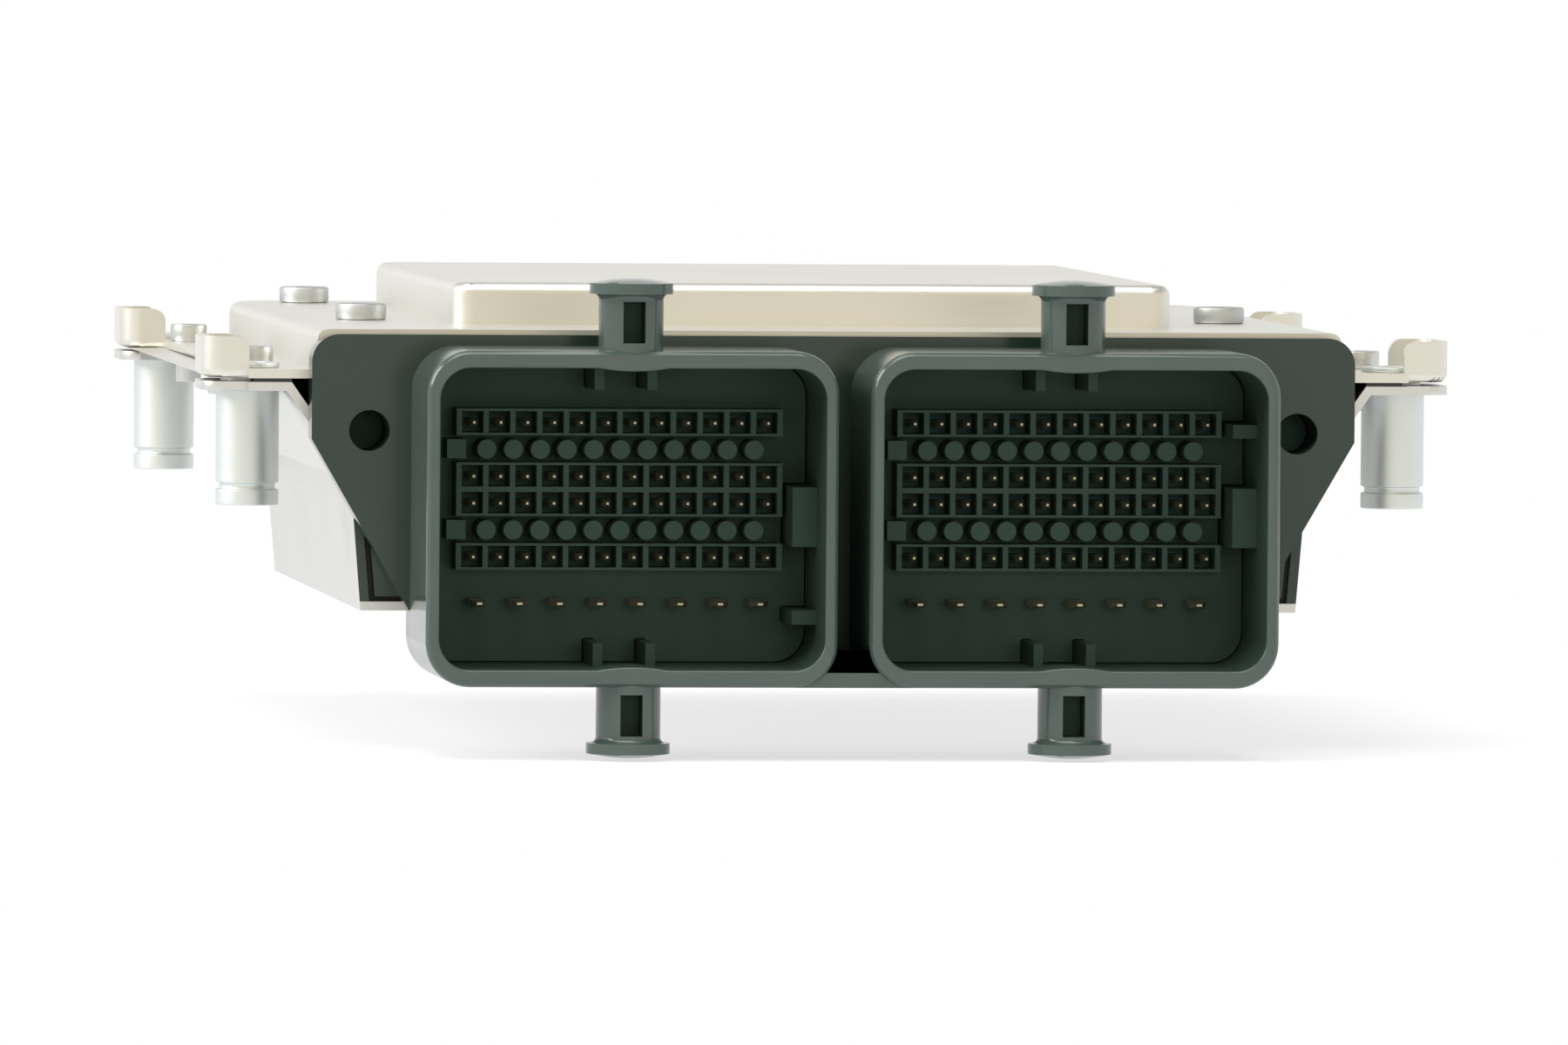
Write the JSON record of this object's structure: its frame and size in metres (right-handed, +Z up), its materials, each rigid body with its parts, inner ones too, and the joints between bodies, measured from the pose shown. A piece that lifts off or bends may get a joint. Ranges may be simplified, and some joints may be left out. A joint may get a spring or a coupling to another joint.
{
  "type": "engine control unit",
  "caption": "Engine control unit in a pressed aluminium case with ears on sleeves, and a black moulded front with two shrouded lever-lock headers.",
  "frame": {"origin": "middle of the four mounting sleeves, on the plane of their feet", "axes": "+X across the unit, -Y out of the connectors, +Z up to the cover"},
  "size_m": [0.1194, 0.1223, 0.045],
  "materials": {
    "header_plastic": "moulded",
    "carrier_plastic": "moulded",
    "contact_metal": "plated",
    "cover_aluminium": "satin",
    "pan_aluminium": "satin",
    "seal_rubber": "matte",
    "sleeve_steel": "satin",
    "screw_steel": "satin",
    "board_laminate": "satin",
    "plated_steel": "satin",
    "chip_plastic": "matte",
    "pad_silicone": "matte",
    "capacitor_sleeve": "satin",
    "choke_ferrite": "matte"
  },
  "bodies": {
    "root": {"connector_header": "header_plastic", "left_contact_carrier": "carrier_plastic", "right_contact_carrier": "carrier_plastic", "left_pins_row_1": "contact_metal", "left_pins_row_2": "contact_metal", "left_pins_row_3": "contact_metal", "left_pins_row_4": "contact_metal", "left_blades": "contact_metal", "right_pins_row_1": "contact_metal", "right_pins_row_2": "contact_metal", "right_pins_row_3": "contact_metal", "right_pins_row_4": "contact_metal", "right_blades": "contact_metal", "heat_sink_cover": "cover_aluminium", "base_pan": "pan_aluminium", "case_seal": "seal_rubber", "header_seal": "seal_rubber", "mounting_sleeves": "sleeve_steel", "board_screws": "screw_steel", "circuit_board": "board_laminate", "case_screws": "plated_steel", "board_standoffs": "plated_steel", "board_nuts": "plated_steel", "clock_crystal": "plated_steel", "main_processor": "chip_plastic", "memory_chip": "chip_plastic", "supply_regulator": "chip_plastic", "driver_chips": "chip_plastic", "power_transistors": "chip_plastic", "thermal_pads": "pad_silicone", "storage_capacitors": "capacitor_sleeve", "power_choke": "choke_ferrite"}
  },
  "joints": []
}
